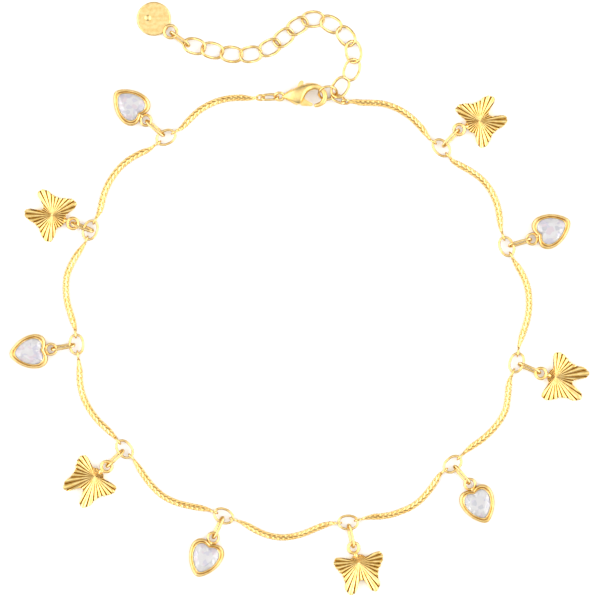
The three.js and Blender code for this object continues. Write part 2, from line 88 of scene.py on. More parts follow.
ROUTES = [
    [(-8.4, 33.75, 0.62), (-10.3, 33.85), (-12.5, 33.65), (-14.65, 33.0), (-16.75, 31.85), (-18.4, 30.4),
     (-19.8, 28.9)],
    [(-25.2, 25.3), (-26.75, 24.6), (-28.4, 23.7), (-30.1, 22.3), (-31.75, 20.1), (-32.6, 18.4), (-33.1, 16.75),
     (-33.5, 15.1)],
    [(-36.0, 9.6), (-36.8, 8.45), (-37.6, 7.3), (-38.4, 5.8), (-38.95, 4.4), (-39.15, 3.0), (-39.15, 1.4),
     (-38.95, -0.2), (-38.5, -1.8), (-38.0, -3.4), (-37.65, -4.6)],
    [(-37.05, -9.9), (-36.9, -11.6), (-36.85, -13.25), (-36.6, -14.9), (-36.0, -16.6), (-35.1, -18.25),
     (-33.85, -19.9), (-32.1, -21.6), (-31.0, -22.7)],
    [(-27.9, -26.4), (-26.75, -28.2), (-25.1, -30.5), (-23.4, -32.2), (-21.75, -33.2), (-20.1, -33.8),
     (-18.4, -34.2), (-16.75, -34.5), (-15.4, -34.8)],
    [(-10.4, -36.7), (-9.2, -37.25), (-8.0, -37.95), (-6.7, -38.6), (-5.1, -39.15), (-3.4, -39.4),
     (-1.75, -39.3), (0, -38.9), (1.6, -38.3), (3.25, -37.6), (4.9, -37.1)],
    [(10.7, -36.2), (11.9, -36.0), (13.25, -35.9), (14.9, -35.65), (16.6, -35.1), (18.25, -34.4),
     (19.9, -33.2), (21.5, -31.4), (22.4, -30.1), (23.2, -28.85)],
    [(27.1, -25.4), (28.3, -24.4), (29.9, -23.3), (31.6, -21.8), (33.15, -19.9), (34.05, -18.2),
     (34.4, -16.5), (34.55, -14.9), (34.8, -13.2)],
    [(36.3, -7.6), (36.6, -6.5), (37.15, -4.9), (37.65, -3.25), (37.95, -1.6), (38.0, 0), (37.85, 1.7),
     (37.35, 3.4), (36.45, 5.2), (35.6, 6.5)],
    [(33.35, 11.8), (33.15, 13.4), (32.9, 15.1), (32.4, 16.8), (31.6, 18.4), (30.25, 20.1), (28.3, 21.6),
     (26.7, 22.5), (25.3, 23.3)],
    [(21.5, 26.9), (20.75, 27.9), (19.9, 29.0), (18.25, 30.6), (16.6, 31.75), (14.9, 32.5), (13.25, 32.9),
     (11.6, 33.0), (10.0, 33.05), (8.9, 33.2)],
]


def plated_gold(name, deep, bright, rough_low, rough_high, grain_mm, scratch_mm, relief):
    """Yellow gold plate: a patchy tone, uneven polish and fine scratches, all by noise; reflections at grazing edges
    tinted dark brown as painted shade.
    """
    finish = bpy.data.materials.new(name)
    finish.use_nodes = True
    nodes, links = finish.node_tree.nodes, finish.node_tree.links
    shader = nodes["Principled BSDF"]
    shader.inputs["Metallic"].default_value = 1.0
    # reflections at grazing edges tinted dark brown: painted shade along the edges
    shader.inputs["Specular Tint"].default_value = (*EDGE_PAINTED_SHADE, 1.0)
    where = nodes.new("ShaderNodeTexCoord")
    tone = nodes.new("ShaderNodeTexNoise")
    tone.inputs["Scale"].default_value = 1.0 / (grain_mm * MM)
    tone.inputs["Detail"].default_value = 3.0
    shade = nodes.new("ShaderNodeValToRGB")
    shade.color_ramp.elements[0].position = 0.3
    shade.color_ramp.elements[0].color = (*deep, 1.0)
    shade.color_ramp.elements[1].position = 0.62
    shade.color_ramp.elements[1].color = (*bright, 1.0)
    polish = nodes.new("ShaderNodeMapRange")
    polish.inputs["From Min"].default_value = 0.3
    polish.inputs["From Max"].default_value = 0.7
    polish.inputs["To Min"].default_value = rough_low
    polish.inputs["To Max"].default_value = rough_high
    scratch = nodes.new("ShaderNodeTexNoise")
    scratch.inputs["Scale"].default_value = 1.0 / (scratch_mm * MM)
    scratch.inputs["Detail"].default_value = 4.0
    scratch.inputs["Roughness"].default_value = 0.6
    bump = nodes.new("ShaderNodeBump")
    bump.inputs["Strength"].default_value = relief
    bump.inputs["Distance"].default_value = 0.02 * MM
    links.new(where.outputs["Object"], tone.inputs["Vector"])
    links.new(where.outputs["Object"], scratch.inputs["Vector"])
    links.new(tone.outputs["Fac"], shade.inputs["Fac"])
    links.new(shade.outputs["Color"], shader.inputs["Base Color"])
    links.new(scratch.outputs["Fac"], polish.inputs["Value"])
    links.new(polish.outputs["Result"], shader.inputs["Roughness"])
    links.new(scratch.outputs["Fac"], bump.inputs["Height"])
    links.new(bump.outputs["Normal"], shader.inputs["Normal"])
    return finish


def finish_piece(piece, finish, nodes, body="anklet", crease=50):
    """Gives a piece its material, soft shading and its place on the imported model."""
    piece.data.materials.clear()
    piece.data.materials.append(finish)
    piece.data.polygons.foreach_set("use_smooth", [crease > 0] * len(piece.data.polygons))
    piece.data.set_sharp_from_angle(angle=math.radians(crease))
    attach(piece, body)
    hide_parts(*nodes)
    return piece


def make_mesh(name, *shapes):
    """One mesh object from (points in mm, faces) shapes."""
    points, faces, start = [], [], 0
    for shape_points, shape_faces in shapes:
        points.append(shape_points)
        faces += [[start + k for k in face] for face in shape_faces]
        start += len(shape_points)
    mesh = bpy.data.meshes.new(name)
    mesh.from_pydata(((np.concatenate(points) + OUTLINE_MIDDLE) * MM).tolist(), [], faces)
    mesh.update()
    piece = bpy.data.objects.new(name, mesh)
    bpy.context.collection.objects.link(piece)
    return piece


def wire(line, radius, sides=10, closed=False):
    """Round wire along a line of points; radius is one number or one for each point."""
    line = np.asarray(line, float)
    radius = np.broadcast_to(radius, len(line))
    if closed:
        along = np.roll(line, -1, axis=0) - np.roll(line, 1, axis=0)
    else:
        along = np.gradient(line, axis=0)
    along /= np.linalg.norm(along, axis=1)[:, None]
    aside = np.cross(UP, along)
    aside /= np.linalg.norm(aside, axis=1)[:, None]
    above = np.cross(along, aside)
    turn = np.linspace(0, 2 * math.pi, sides, endpoint=False)
    spoke = (np.cos(turn)[None, :, None] * aside[:, None, :] + np.sin(turn)[None, :, None] * above[:, None, :])
    points = (line[:, None, :] + radius[:, None, None] * spoke).reshape(-1, 3)
    count = len(line)
    faces = []
    for i in range(count if closed else count - 1):
        j = (i + 1) % count
        for k in range(sides):
            m = (k + 1) % sides
            faces.append([i * sides + k, i * sides + m, j * sides + m, j * sides + k])
    if not closed:
        faces.append(list(range(sides))[::-1])
        faces.append([(count - 1) * sides + k for k in range(sides)])
    return points, faces


def even_points(line, count, closed=False):
    """The same line with its points evenly spaced."""
    line = np.asarray(line, float)
    run = np.concatenate([[0], np.cumsum(np.linalg.norm(np.diff(line, axis=0), axis=1))])
    stops = np.linspace(0, run[-1], count, endpoint=not closed)
    return np.stack([np.interp(stops, run, line[:, k]) for k in range(line.shape[1])], axis=1)


def wire_ring(length, width, wire_radius, square=2.0, steps=56, sides=12, twist=0.0):
    """A closed oval of wire, flat in XY; square over 2 straightens its sides."""
    a, b = length / 2 - wire_radius, width / 2 - wire_radius
    turn = np.linspace(0, 2 * math.pi, 721)
    c, s = np.cos(turn), np.sin(turn)
    x = a * np.sign(c) * np.abs(c) ** (2 / square)
    y = b * np.sign(s) * np.abs(s) ** (2 / square)
    line = even_points(np.stack([x, y, np.zeros_like(x)], axis=1), steps, closed=True)
    line[:, 2] = twist * np.sin(2 * np.arctan2(line[:, 1] / b, line[:, 0] / a))
    return wire(line, wire_radius, sides, closed=True)


def put(shape, turn_x=0.0, turn_z=0.0, at=(0, 0, 0)):
    """The shape turned about X, then about Z, then moved."""
    points, faces = shape
    a, b = math.radians(turn_x), math.radians(turn_z)
    tip = np.array([[1, 0, 0], [0, math.cos(a), -math.sin(a)], [0, math.sin(a), math.cos(a)]])
    spin = np.array([[math.cos(b), -math.sin(b), 0], [math.sin(b), math.cos(b), 0], [0, 0, 1]])
    return points @ (spin @ tip).T + np.asarray(at, float), faces


def smooth_line(points, per_span=16, closed=False):
    """A smooth line through the points, with no overshoot between uneven ones."""
    p = np.asarray(points, float)
    if closed:
        p = np.vstack([p[-1], p, p[0], p[1]])
    else:
        p = np.vstack([2 * p[0] - p[1], p, 2 * p[-1] - p[-2]])
    out = []
    for i in range(1, len(p) - 2):
        p0, p1, p2, p3 = p[i - 1 : i + 3]
        d0, d1, d2 = (math.sqrt(np.linalg.norm(q)) for q in (p1 - p0, p2 - p1, p3 - p2))
        t1 = ((p1 - p0) / d0 - (p2 - p0) / (d0 + d1) + (p2 - p1) / d1) * d1
        t2 = ((p2 - p1) / d1 - (p3 - p1) / (d1 + d2) + (p3 - p2) / d2) * d1
        for t in np.linspace(0, 1, per_span, endpoint=False):
            out.append(
                (2 * t**3 - 3 * t**2 + 1) * p1 + (t**3 - 2 * t**2 + t) * t1
                + (3 * t**2 - 2 * t**3) * p2 + (t**3 - t**2) * t2
            )
    if not closed:
        out.append(p[-2])
    return np.array(out)


def oval_reach(oval, angle):
    """How far the oval's wire is from its middle, at an angle in radians to its length."""
    a, b = oval["length"] / 2 - oval["wire"], oval["width"] / 2 - oval["wire"]
    n = oval["square"]
    return (abs(math.cos(angle) / a) ** n + abs(math.sin(angle) / b) ** n) ** (-1 / n)


def ring_point(station, toward):
    """The point on a connector ring's wire that faces another point."""
    x, y = station["ring"]
    way = math.atan2(toward[1] - y, toward[0] - x)
    reach = oval_reach(RING, way - math.radians(station["turn"]))
    return np.array([x + reach * math.cos(way), y + reach * math.sin(way)])


def oval_end(oval, at, turn, side):
    """The middle of the wire at one end of a link by the clasp."""
    reach = side * (oval["length"] / 2 - oval["wire"])
    turn = math.radians(turn)
    return np.array([at[0] + reach * math.cos(turn), at[1] + reach * math.sin(turn)])


def chain_end(held, first, z=EYE_Z, tilt=90.0):
    """The eye round a held wire, and the point where the strand leaves it."""
    way = np.array([first[0] - held[0], first[1] - held[1]])
    way /= np.linalg.norm(way)
    inner = EYE["length"] / 2 - EYE_HOLD - EYE["wire"]
    inset = EYE["length"] - EYE_HOLD - 2 * EYE["wire"]
    eye = put(
        wire_ring(EYE["length"], EYE["width"], EYE["wire"], EYE["square"], EYE["steps"], EYE["sides"]),
        tilt, math.degrees(math.atan2(way[1], way[0])), (*(held + way * inner), z),
    )
    return eye, (*(held + way * inset), z)


def plaited_strand(line):
    """Small oval links, two leaning rows above and two below, shrinking towards both ends."""
    run = np.concatenate([[0], np.cumsum(np.linalg.norm(np.diff(line, axis=0), axis=1))])
    total = run[-1]
    count = round(total / LINK_PITCH)
    link = wire_ring(
        PLAIT_LINK["length"], PLAIT_LINK["width"], PLAIT_LINK["wire"], PLAIT_LINK["square"],
        PLAIT_LINK["steps"], PLAIT_LINK["sides"],
    )
    shapes = []
    for i in range(count):
        for side, layer, lag in ((1, 1, 0.0), (-1, 1, 0.5), (1, -1, 0.5), (-1, -1, 0.0)):
            at = (i + 0.25 + lag) / count * total
            here = np.array([np.interp(at, run, line[:, k]) for k in range(3)])
            ahead = np.array([np.interp(min(at + 0.2, total), run, line[:, k]) for k in range(3)])
            behind = np.array([np.interp(max(at - 0.2, 0), run, line[:, k]) for k in range(3)])
            along = (ahead - behind) / np.linalg.norm(ahead - behind)
            aside = np.cross(UP, along)
            aside /= np.linalg.norm(aside)
            above = np.cross(along, aside)
            near = np.clip((min(at, total - at) + 0.6) / (TAPER + 0.6), 0, 1)
            size = END_SCALE + (1 - END_SCALE) * near * near * (3 - 2 * near)
            points, faces = put(link, turn_x=-side * layer * PLAIT_ROLL)
            lean = math.radians(side * PLAIT_LEAN)
            x = points[:, 0] * math.cos(lean) - points[:, 1] * math.sin(lean)
            y = points[:, 0] * math.sin(lean) + points[:, 1] * math.cos(lean) + side * PLAIT_SIDE
            z = points[:, 2] + layer * PLAIT_LIFT
            placed = here + x[:, None] * along * (0.7 + 0.3 * size) + size * (y[:, None] * aside + z[:, None] * above)
            shapes.append((placed, faces))
    return shapes


plait_gold = plated_gold("gold_plait", (0.74, 0.48, 0.15), (0.92, 0.69, 0.30), 0.12, 0.26, 0.5, 0.12, 0.2)
for number, route in enumerate(ROUTES, start=1):
    if number == 1:
        held = oval_end(CLASP_LINK, CLASP_LINK_AT, CLASP_LINK_TURN, -1)
        first_eye, start_point = chain_end(held, route[0], CLASP_LINK_AT[2], -90 - CLASP_LINK_TILT)
    else:
        first_eye, start_point = chain_end(ring_point(STATIONS[number - 2], route[0]), route[0])
    if number == len(ROUTES):
        held = oval_end(END_OVAL, END_OVAL_AT, END_OVAL_TURN, 1)
        last_eye, end_point = chain_end(held, route[-1], LAST_EYE_Z, 90 + END_OVAL_TILT)
    else:
        last_eye, end_point = chain_end(ring_point(STATIONS[number - 1], route[-1]), route[-1])
    laid = [(p[0], p[1], p[2] if len(p) > 2 else STRAND_RADIUS) for p in route]
    strand = smooth_line([start_point, *laid, end_point])
    length = np.linalg.norm(np.diff(strand, axis=0), axis=1).sum()
    strand = even_points(strand, round(length / 0.15))
    stem_steps = round(STEM_LENGTH / 0.15)
    stem_radius = np.linspace(0.17, 0.12, stem_steps)
    stems = [wire(strand[:stem_steps], stem_radius), wire(strand[::-1][:stem_steps], stem_radius)]
    piece = make_mesh(f"chain_{number}_plait", *plaited_strand(strand), *stems, first_eye, last_eye)
    finish_piece(piece, plait_gold, [f"chain_{number}"])

# ---- connector rings ------------------------------------------------------------------
# Ten thin oval rings of round gold-plated wire, soldered shut and lying flat.
# Each holds the end eyes of two lengths of chain and the link of one charm.
RING_Z = 0.74

wire_gold = plated_gold("gold_wire", (0.70, 0.46, 0.16), (0.88, 0.66, 0.31), 0.08, 0.2, 0.9, 0.1, 0.12)
for number, station in enumerate(STATIONS, start=1):
    oval = wire_ring(RING["length"], RING["width"], RING["wire"], RING["square"])
    ring = make_mesh(f"connector_ring_{number}", put(oval, 0, station["turn"], (*station["ring"], RING_Z)))
    finish_piece(ring, wire_gold, [f"ring_{number}"])

# ---- charm links ----------------------------------------------------------------------
# Ten long straight-sided links of round gold-plated wire, one for each charm.
# They stand on edge, leaning over, with one end round the ring and one round the charm's loop.
CHARM_LINK = {"length": 4.2, "width": 1.8, "wire": 0.21, "square": 3.0}
CHARM_LINK_LEAN = 20
CHARM_LINK_Z = 0.86
HEART_LOOP_RADIUS, HEART_LOOP_WIRE, HEART_LOOP_Z = 0.875, 0.225, 0.76
WING_LOOP_RADIUS, WING_LOOP_WIRE, WING_LOOP_Z = 0.87, 0.265, 0.8


def standing_link(start, end, slack=0.0):
    """A link on its edge between two held wires, nearer to the first by its slack."""
    points, faces = wire_ring(CHARM_LINK["length"], CHARM_LINK["width"], CHARM_LINK["wire"], CHARM_LINK["square"])
    points = points - np.array([slack, 0, 0])
    heading = math.degrees(math.atan2(end[1] - start[1], end[0] - start[0]))
    middle = ((start[0] + end[0]) / 2, (start[1] + end[1]) / 2, CHARM_LINK_Z)
    return put((points, faces), 90 - CHARM_LINK_LEAN, heading, middle)


for number, station in enumerate(STATIONS, start=1):
    start = ring_point(station, station["loop"])
    reach = HEART_LOOP_RADIUS if "heart" in station else WING_LOOP_RADIUS
    gap = np.array(station["loop"]) - start
    end = start + gap * (1 - reach / np.linalg.norm(gap))
    link = make_mesh(f"standing_link_{number}", standing_link(start, end, station.get("slack", 0.0)))
    finish_piece(link, wire_gold, [f"charm_link_{number}"])

# ---- heart settings -------------------------------------------------------------------
# Five heart bezels, cast in brass and gold plated, open at the back, with a round loop
# soldered in the notch. A polished rim steps down to a bright lip turned over the stone.
HEART_NOTCH = 1.15
HEART_MIDDLE = 2.35
HEART_CURVES = [
    [(0, 0), (-0.25, 0.45), (-0.5, 0.95), (-0.4, 1.6)],
    [(-0.4, 1.6), (-0.28, 2.35), (0.5, 2.88), (1.35, 2.88)],
    [(1.35, 2.88), (2.7, 2.88), (4.0, 2.3), (5.1, 1.2)],
    [(5.1, 1.2), (5.5, 0.8), (5.8, 0.4), (5.8, 0)],
    [(5.8, 0), (5.8, -0.4), (5.5, -0.8), (5.1, -1.2)],
    [(5.1, -1.2), (4.0, -2.3), (2.7, -2.88), (1.35, -2.88)],
    [(1.35, -2.88), (0.5, -2.88), (-0.28, -2.35), (-0.4, -1.6)],
    [(-0.4, -1.6), (-0.5, -0.95), (-0.25, -0.45), (0, 0)],
]
BEZEL_SECTION = [
    (1.0, 0.0), (1.0, 1.45), (0.99, 1.65), (0.965, 1.8), (0.935, 1.88), (0.9, 1.9), (0.87, 1.86),
    (0.855, 1.74), (0.848, 1.6), (0.835, 1.57), (0.8, 1.64), (0.77, 1.65), (0.745, 1.6), (0.738, 1.53),
    (0.76, 1.46), (0.785, 1.4), (0.785, 1.26), (0.7, 1.05), (0.7, 0.05), (0.72, 0.0),
]
BEZEL_STEPS = 110
HEART_NECK = [(0.75, 0.26), (1.0, 0.3), (1.3, 0.36), (1.6, 0.4)]


def heart_line(count):
    """The heart's outline from its notch, round and back, evenly spaced."""
    out = []
    for p0, p1, p2, p3 in (np.array(c, float) for c in HEART_CURVES):
        for t in np.linspace(0, 1, 24, endpoint=False):
            out.append((1 - t) ** 3 * p0 + 3 * t * (1 - t) ** 2 * p1 + 3 * t * t * (1 - t) * p2 + t**3 * p3)
    out.append(out[0])
    return even_points(np.array(out), count, closed=True)


def heart_layer(outline, scale, z):
    """The outline drawn in towards the heart's middle, at a height."""
    x = HEART_NOTCH + HEART_MIDDLE + (outline[:, 0] - HEART_MIDDLE) * scale
    return np.stack([x, outline[:, 1] * scale, np.full(len(outline), z)], axis=1)


def bezel():
    """The bezel's section carried round the heart."""
    outline = heart_line(BEZEL_STEPS)
    layers = [heart_layer(outline, scale, z) for scale, z in BEZEL_SECTION]
    rows, count = len(layers), len(outline)
    faces = []
    for j in range(rows):
        for i in range(count):
            a, b = j * count + i, j * count + (i + 1) % count
            c, d = (j + 1) % rows * count + (i + 1) % count, (j + 1) % rows * count + i
            faces.append([a, d, c, b])
    return np.concatenate(layers), faces


def charm_loop(radius, wire_radius, z):
    """The charm's own round loop, lying flat."""
    size = 2 * (radius + wire_radius)
    points, faces = wire_ring(size, size, wire_radius, 2.0, 48, 14)
    return points + np.array([0, 0, z]), faces


bezel_gold = plated_gold("gold_bezel", (0.72, 0.48, 0.16), (0.89, 0.67, 0.32), 0.07, 0.17, 1.4, 0.14, 0.1)
hearts = [(n, s) for n, s in enumerate(STATIONS, start=1) if "heart" in s]
for number, station in hearts:
    neck_line = [(x, 0, HEART_LOOP_Z) for x, _ in HEART_NECK]
    neck = wire(neck_line, [r for _, r in HEART_NECK], 14)
    loop = charm_loop(HEART_LOOP_RADIUS, HEART_LOOP_WIRE, HEART_LOOP_Z)
    shapes = [put(s, 0, station["heart"], (*station["loop"], 0)) for s in (bezel(), loop, neck)]
    setting = make_mesh(f"heart_bezel_{number}", *shapes)
    finish_piece(setting, bezel_gold, [f"heart_setting_{number}"], crease=40)

# ---- heart stones ---------------------------------------------------------------------
# Five clear heart-cut stones of cubic zirconia, faceted above and below the girdle.
# The bezel's lip holds each by its girdle; the open back lets light in from below.
STONE_GIRDLE = 0.752
STONE_SIDES = 24
STONE_TOP_Z, STONE_GIRDLE_HIGH, STONE_GIRDLE_LOW, STONE_POINT_Z = 1.78, 1.44, 1.32, 0.3


def cut_stone():
    """Table, star, kite and girdle facets above; girdle and main facets below."""
    outline = heart_line(STONE_SIDES)
    n, half = STONE_SIDES, STONE_SIDES // 2
    even, odd = outline[0::2], outline[1::2]
    layers = [
        heart_layer(even, 0.44, STONE_TOP_Z), heart_layer(odd, 0.6, 1.65),
        heart_layer(outline, STONE_GIRDLE, STONE_GIRDLE_HIGH), heart_layer(outline, STONE_GIRDLE, STONE_GIRDLE_LOW),
        heart_layer(odd, 0.38, 0.86), np.array([[HEART_NOTCH + HEART_MIDDLE, 0, STONE_POINT_Z]]),
    ]
    table, star, high, low = 0, half, 2 * half, 2 * half + n
    deep, point = 2 * half + 2 * n, 3 * half + 2 * n
    faces = [[table + k for k in range(half)][::-1]]
    for k in range(half):
        nxt, prev = (k + 1) % half, (k - 1) % half
        e, o, e2 = 2 * k, 2 * k + 1, (2 * k + 2) % n
        faces += [
            [star + k, table + k, table + nxt],
            [high + e, star + prev, table + k, star + k],
            [high + e, star + k, high + o], [high + o, star + k, high + e2],
            [high + e, high + o, low + o, low + e], [high + o, high + e2, low + e2, low + o],
            [low + e, low + o, deep + k], [low + o, low + e2, deep + k],
            [low + e, deep + k, point], [low + e, point, deep + prev],
        ]
    return np.concatenate(layers), faces


stone_clear = bpy.data.materials.new("stone_clear")
stone_clear.use_nodes = True
stone_nodes, stone_links = stone_clear.node_tree.nodes, stone_clear.node_tree.links
stone_shader = stone_nodes["Principled BSDF"]
stone_shader.inputs["Transmission Weight"].default_value = 0.66
stone_shader.inputs["IOR"].default_value = 1.95
stone_shader.inputs["Roughness"].default_value = 0.02
stone_where = stone_nodes.new("ShaderNodeTexCoord")
# pale lilac, pink and grey cells in the clear stone's colour: painted reflections in its facets
stone_reflection_cells = stone_nodes.new("ShaderNodeTexVoronoi")
stone_reflection_cells.inputs["Scale"].default_value = 1.0 / (0.62 * MM)
stone_reflection_ramp = stone_nodes.new("ShaderNodeValToRGB")
stone_reflection_ramp.color_ramp.interpolation = "CONSTANT"
STONE_PAINTED_REFLECTIONS = [(0.0, (1.0, 1.0, 1.0)), (0.34, (0.84, 0.82, 0.95)), (0.46, (1.0, 0.99, 1.0)),
               (0.62, (0.97, 0.84, 0.91)), (0.72, (1.0, 1.0, 1.0)), (0.86, (0.76, 0.77, 0.84))]
while len(stone_reflection_ramp.color_ramp.elements) < len(STONE_PAINTED_REFLECTIONS):
    stone_reflection_ramp.color_ramp.elements.new(0.5)
for stop, (place, colour) in zip(stone_reflection_ramp.color_ramp.elements, STONE_PAINTED_REFLECTIONS):
    stop.position = place
    stop.color = (*colour, 1.0)
stone_links.new(stone_where.outputs["Object"], stone_reflection_cells.inputs["Vector"])
stone_links.new(stone_reflection_cells.outputs["Color"], stone_reflection_ramp.inputs["Fac"])
stone_links.new(stone_reflection_ramp.outputs["Color"], stone_shader.inputs["Base Color"])
for number, station in hearts:
    stone = make_mesh(f"heart_cut_stone_{number}", put(cut_stone(), 0, station["heart"], (*station["loop"], 0)))
    finish_piece(stone, stone_clear, [f"heart_stone_{number}"], crease=0)

# ---- butterflies ----------------------------------------------------------------------
# Five small butterflies stamped from brass sheet and gold plated, with a loop at the head.
# Bright flutes are cut from one point out to the edge, so that the edge is finely scalloped; their valleys are painted
# dark brown as painted shade.
WING_HALF = [
    (-1.2, 0.75), (-0.8, 1.25), (-1.25, 2.9), (-1.25, 3.75), (-0.7, 4.15), (0.1, 4.1), (0.7, 3.75),
    (1.2, 3.5), (1.55, 3.15), (2.2, 3.0), (2.9, 2.85), (3.9, 2.95), (4.8, 2.7), (5.3, 2.0), (5.0, 1.35),
    (4.1, 0.9), (3.25, 0.4),
]
WING_REACH = 2.5
FLUTES = 30
FLUTE_STEPS = 10
FLUTE_ROWS = 14
FLUTE_TOP, FLUTE_FLOOR, FLUTE_CENTRE = 1.05, 0.7, 0.72
WING_SCALLOP = 0.035
# dark brown painted into the flutes' valleys: painted shade in the grooves
GROOVE_PAINTED_SHADE = (0.2, 0.09, 0.02)


def fluted_wings(cuts):
    """The butterfly's plate; the flutes meet at a point moved out from its middle by cuts."""
    ring = [*WING_HALF, (3.0, 0.0), *[(x, -y) for x, y in reversed(WING_HALF)]]
    edge = smooth_line([(x, y) for x, y in ring], 24, closed=True)
    rel = edge - np.array([cuts, 0])
    angle = np.unwrap(np.arctan2(rel[:, 1], rel[:, 0]))
    if angle[-1] < angle[0]:
        angle, rel = angle[::-1], rel[::-1]
    far = np.linalg.norm(rel, axis=1)
    count = FLUTES * FLUTE_STEPS
    rays = angle[0] + np.linspace(0, 2 * math.pi, count, endpoint=False)
    order = np.maximum.accumulate(angle)
    reach = np.interp(rays, order, far, period=None)
    phase = np.arange(count) / FLUTE_STEPS
    wave = np.abs(np.sin(math.pi * phase)) ** 0.75
    reach = reach * (1 - WING_SCALLOP * (1 - wave))
    points = []
    for row in range(1, FLUTE_ROWS + 1):
        out = row / FLUTE_ROWS
        rim = 0.1 * max(0.0, (out - 0.93) / 0.07) ** 2
        z = FLUTE_CENTRE + out * (FLUTE_FLOOR + (FLUTE_TOP - FLUTE_FLOOR) * wave - FLUTE_CENTRE) - rim
        points.append(np.stack([cuts + out * reach * np.cos(rays), out * reach * np.sin(rays), z], axis=1))
    points.append(points[-1] * np.array([1, 1, 0]))
    points.append(np.array([[cuts, 0, FLUTE_CENTRE], [cuts, 0, 0]]))
    faces = []
    for row in range(FLUTE_ROWS):
        for i in range(count):
            j = (i + 1) % count
            faces.append([row * count + i, (row + 1) * count + i, (row + 1) * count + j, row * count + j])
    top = (FLUTE_ROWS + 1) * count
    for i in range(count):
        j = (i + 1) % count
        faces.append([top, i, j])
        faces.append([top + 1, FLUTE_ROWS * count + j, FLUTE_ROWS * count + i])
    # how far each point lies down a valley, used to paint shade into the grooves
    groove_shade_amount = np.concatenate([np.tile(1 - wave, FLUTE_ROWS), np.zeros(count + 2)])
    return np.concatenate(points), faces, groove_shade_amount


flute_gold = plated_gold("gold_fluted", (0.80, 0.53, 0.16), (0.94, 0.70, 0.30), 0.1, 0.22, 0.8, 0.09, 0.15)
flute_nodes, flute_links = flute_gold.node_tree.nodes, flute_gold.node_tree.links
# base colour darkened to brown down each flute's valley: painted shade in the grooves
flute_shade_mask = flute_nodes.new("ShaderNodeAttribute")
flute_shade_mask.attribute_name = "painted_groove_shade"
flute_shade_line = flute_nodes.new("ShaderNodeMapRange")
flute_shade_line.inputs["From Min"].default_value = 0.5
flute_shade_line.inputs["From Max"].default_value = 0.95
flute_painted_shade = flute_nodes.new("ShaderNodeMix")
flute_painted_shade.data_type = "RGBA"
flute_painted_shade.inputs["B"].default_value = (*GROOVE_PAINTED_SHADE, 1.0)
flute_shader = flute_nodes["Principled BSDF"]
flute_links.new(flute_shade_mask.outputs["Fac"], flute_shade_line.inputs["Value"])
flute_links.new(flute_shade_line.outputs["Result"], flute_painted_shade.inputs["Factor"])
flute_links.new(flute_shader.inputs["Base Color"].links[0].from_socket, flute_painted_shade.inputs["A"])
flute_links.new(flute_painted_shade.outputs["Result"], flute_shader.inputs["Base Color"])
for number, station in enumerate(STATIONS, start=1):
    if "wings" not in station:
        continue
    points, faces, groove_shade_amount = fluted_wings(station["cuts"])
    plate = (points + np.array([WING_REACH, -station["side"], 0]), faces)
    neck_tip = np.array([WING_REACH - 0.6, -0.5 * station["side"], 0.62])
    neck_root = neck_tip / np.linalg.norm(neck_tip[:2]) * WING_LOOP_RADIUS
    neck_root[2] = 0.76
    neck = wire(np.linspace(neck_root, neck_tip, 6), [0.28, 0.34, 0.36, 0.32, 0.24, 0.1], 14)
    loop = charm_loop(WING_LOOP_RADIUS, WING_LOOP_WIRE, WING_LOOP_Z)
    shapes = [put(s, 0, station["wings"], (*station["loop"], 0)) for s in (plate, loop, neck)]
    butterfly = make_mesh(f"fluted_butterfly_{number}", *shapes)
    # the valley mask for the painted shade in the grooves
    groove_shade_layer = butterfly.data.attributes.new("painted_groove_shade", "FLOAT", "POINT")
    spare = np.zeros(len(butterfly.data.vertices) - len(groove_shade_amount))
    groove_shade_layer.data.foreach_set("value", np.concatenate([groove_shade_amount, spare]).astype(np.float32))
    finish_piece(butterfly, flute_gold, [f"butterfly_{number}"], crease=60)

# ---- clasp body -----------------------------------------------------------------------
# The lobster clasp's body, cast in brass, polished and gold plated: a full teardrop belly
# that narrows to a round hook, slotted for the lever, with a pin and a loop at its tail.
CLASP_AT = (-0.2, 34.2, 1.15)
# the hook's outer and inner edge and half its thickness, from the tail to the hook's tip
CLASP_RIBS = [
    ((-2.95, 0.12), (-2.95, -0.32), 0.2), ((-2.65, 0.28), (-2.7, -0.46), 0.4),
    ((-2.1, 0.62), (-2.25, -0.68), 0.66), ((-1.45, 1.02), (-1.7, -0.98), 0.9),
    ((-0.7, 1.42), (-1.05, -1.33), 1.07), ((0.05, 1.75), (-0.35, -1.6), 1.14),
    ((0.65, 1.93), (0.15, -1.45), 1.1), ((1.2, 2.02), (0.6, -0.75), 0.95),
    ((1.75, 2.06), (1.0, 0.1), 0.76), ((2.3, 2.05), (1.6, 0.75), 0.6),
    ((2.95, 1.92), (2.5, 1.0), 0.48),
    ((3.75, 1.4), (3.25, 0.75), 0.4), ((4.4, 0.7), (3.68, 0.33), 0.4), ((4.6, -0.2), (3.8, -0.1), 0.4),
    ((4.4, -1.0), (3.65, -0.6), 0.4), ((3.85, -1.6), (3.3, -1.05), 0.38), ((3.1, -1.93), (2.85, -1.25), 0.36),
    ((2.6, -1.93), (2.55, -1.38), 0.3), ((2.38, -1.8), (2.36, -1.56), 0.14),
]
LEVER_SLOT = [
    (-1.9, 2.9), (-1.3, 1.2), (-0.75, 0.3), (-0.78, -0.1), (-0.5, -0.8), (-0.4, -2.2), (2, -2.2),
    (2.5, 0.25), (0.75, 0.12), (0.65, 0.6), (1.15, 2.9),
]
SLOT_HALF = 0.5
PIN_RADIUS = 0.25


